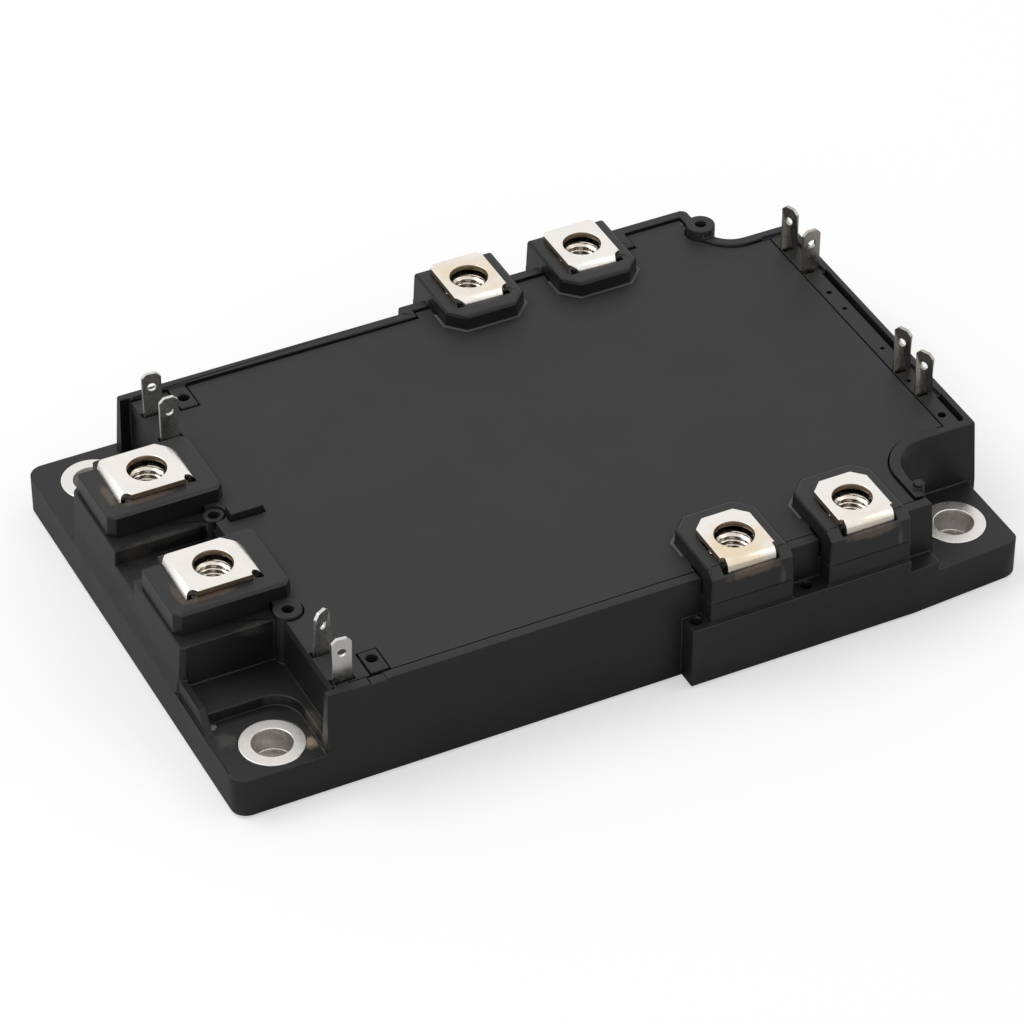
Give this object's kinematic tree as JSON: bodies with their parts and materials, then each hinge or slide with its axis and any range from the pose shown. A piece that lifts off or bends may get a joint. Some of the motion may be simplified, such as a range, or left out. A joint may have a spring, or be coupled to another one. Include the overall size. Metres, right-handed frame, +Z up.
{
  "type": "igbt transistor module",
  "caption": "Flat black power transistor module with screw terminals on three sides, upright push-on tabs and ringed mounting holes in its corner flanges.",
  "frame": {"origin": "middle of the footprint on the baseplate's lower face", "axes": "+X along the long side towards the plain end, +Y along the short side towards the back pair of terminals, +Z up out of the lid"},
  "size_m": [0.1178, 0.0798, 0.0228],
  "materials": {
    "housing_black": "satin, moulded",
    "lid_grey": "matte, fine grain",
    "cap_black": "satin, moulded",
    "nickel": "nickel plated, satin",
    "ring_metal": "brushed",
    "nut_steel": "plated",
    "tab_tin": "tin plated, satin",
    "ceramic": "matte ceramic",
    "copper": "satin copper",
    "silicon": "smooth",
    "aluminium_wire": "drawn wire",
    "sensor": "matte",
    "gel": "clear gel"
  },
  "bodies": {
    "root": {"housing_flange": "housing_black", "housing_left": "housing_black", "housing_front": "housing_black", "housing_front_ledge": "housing_black", "housing_back": "housing_black", "housing_back_ledge": "housing_black", "housing_right": "housing_black", "lid": "lid_grey", "baseplate": "nickel", "bushing_front_left": "ring_metal", "bushing_front_right": "ring_metal", "bushing_back_left": "ring_metal", "bushing_back_right": "ring_metal", "cap_left_1": "cap_black", "cap_left_2": "cap_black", "cap_back_1": "cap_black", "cap_back_2": "cap_black", "cap_front_1": "cap_black", "cap_front_2": "cap_black", "terminal_left_1": "nickel", "terminal_left_2": "nickel", "terminal_back_1": "nickel", "terminal_back_2": "nickel", "terminal_front_1": "nickel", "terminal_front_2": "nickel", "nut_left_1": "nut_steel", "nut_left_2": "nut_steel", "nut_back_1": "nut_steel", "nut_back_2": "nut_steel", "nut_front_1": "nut_steel", "nut_front_2": "nut_steel", "tab_left_1": "tab_tin", "tab_left_2": "tab_tin", "tab_left_3": "tab_tin", "tab_left_4": "tab_tin", "tab_right_1": "tab_tin", "tab_right_2": "tab_tin", "tab_right_3": "tab_tin", "tab_right_4": "tab_tin", "ceramic_1": "ceramic", "ceramic_2": "ceramic", "lower_copper_1": "copper", "lower_copper_2": "copper", "upper_copper_1": "copper", "upper_copper_2": "copper", "igbt_chips": "silicon", "diode_chips": "silicon", "bond_wires": "aluminium_wire", "thermistor": "sensor", "silicone_gel": "gel"}
  },
  "joints": []
}
